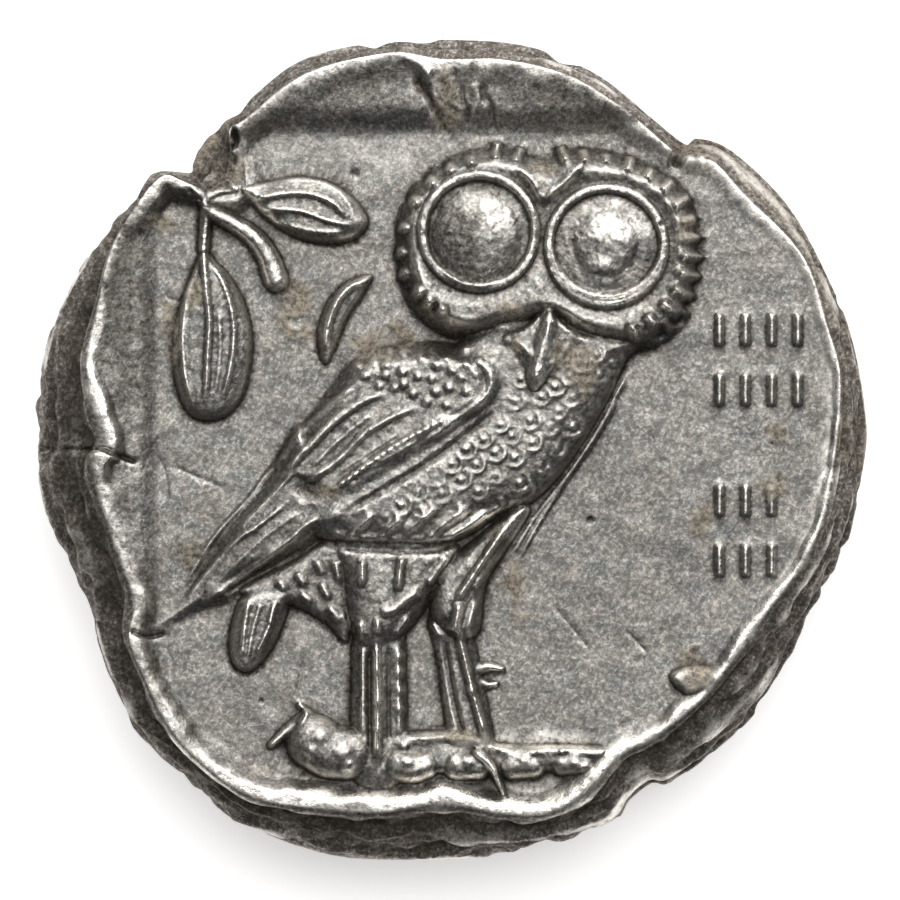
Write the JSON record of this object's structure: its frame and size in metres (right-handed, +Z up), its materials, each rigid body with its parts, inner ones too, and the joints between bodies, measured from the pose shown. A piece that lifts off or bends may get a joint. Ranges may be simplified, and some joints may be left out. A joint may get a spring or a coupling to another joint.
{
  "type": "coin",
  "caption": "Ancient silver coin lying flat: a thick irregular flan with an owl, olive sprig and crescent in a sunk square, and a helmeted head on its underside.",
  "frame": {"origin": "on the surface that the coin lies on, under the middle of its box", "axes": "+Z up out of the owl side, +Y towards the top of the owl, +X to the right as the owl side is read"},
  "size_m": [0.0251, 0.0248, 0.0055],
  "materials": {
    "silver": "aged struck silver"
  },
  "bodies": {
    "root": {"coin": "silver"}
  },
  "joints": []
}
